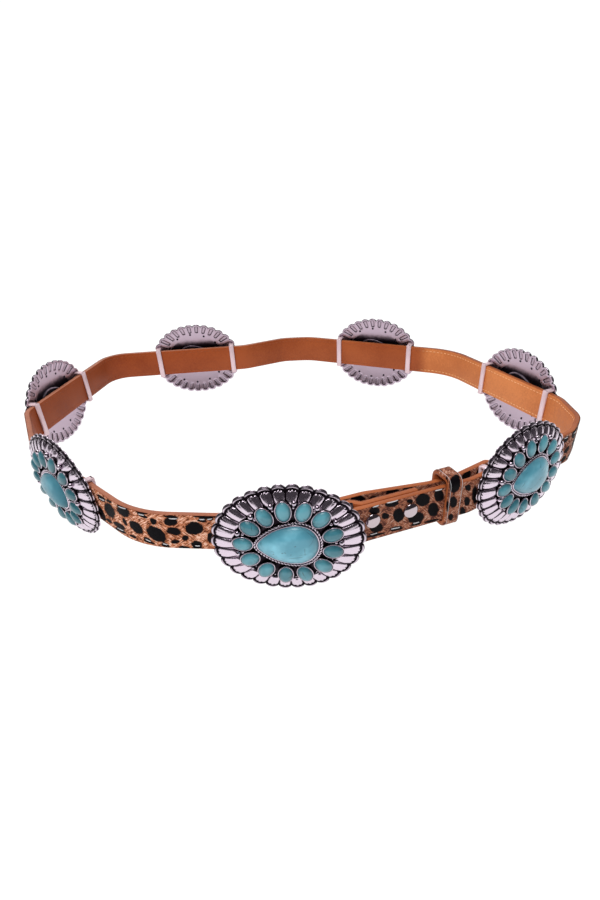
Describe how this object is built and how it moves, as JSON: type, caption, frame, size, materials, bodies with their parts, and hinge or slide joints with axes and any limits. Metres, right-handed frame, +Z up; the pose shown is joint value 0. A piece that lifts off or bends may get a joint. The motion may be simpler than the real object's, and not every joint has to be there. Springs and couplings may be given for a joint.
{
  "type": "concho belt",
  "caption": "Fastened leather belt of spotted hair-on hide, with oval fluted silver conchos ringed in turquoise; the front concho is its buckle, with a keeper and snapped fold beside it.",
  "frame": {"origin": "on the surface the belt stands on, under the middle of its bounding box", "axes": "+Z up, the buckle faces -Y, and +X runs to the right hand of someone who looks at the buckle"},
  "size_m": [0.3582, 0.2898, 0.0567],
  "materials": {
    "silver": "cast white metal with a silver plating, bright on the lobes and dark in the grooves",
    "turquoise": "polished turquoise, pale blue green with thin dark veins",
    "lining": "smooth tan leather with a row of stitches near each edge",
    "hide": "short-haired hide, light brown with black spots",
    "snaps": "polished domed snap"
  },
  "bodies": {
    "root": {"strap_lining": "lining", "strap_face": "hide", "buckle": "silver", "buckle_stone": "turquoise", "concho_1": "silver", "concho_1_stone": "turquoise", "concho_2": "silver", "concho_2_stone": "turquoise", "concho_3": "silver", "concho_3_stone": "turquoise", "concho_4": "silver", "concho_4_stone": "turquoise", "concho_5": "silver", "concho_5_stone": "turquoise", "concho_6": "silver", "concho_6_stone": "turquoise", "snap_1": "snaps", "snap_2": "snaps", "keeper": "hide"}
  },
  "joints": []
}
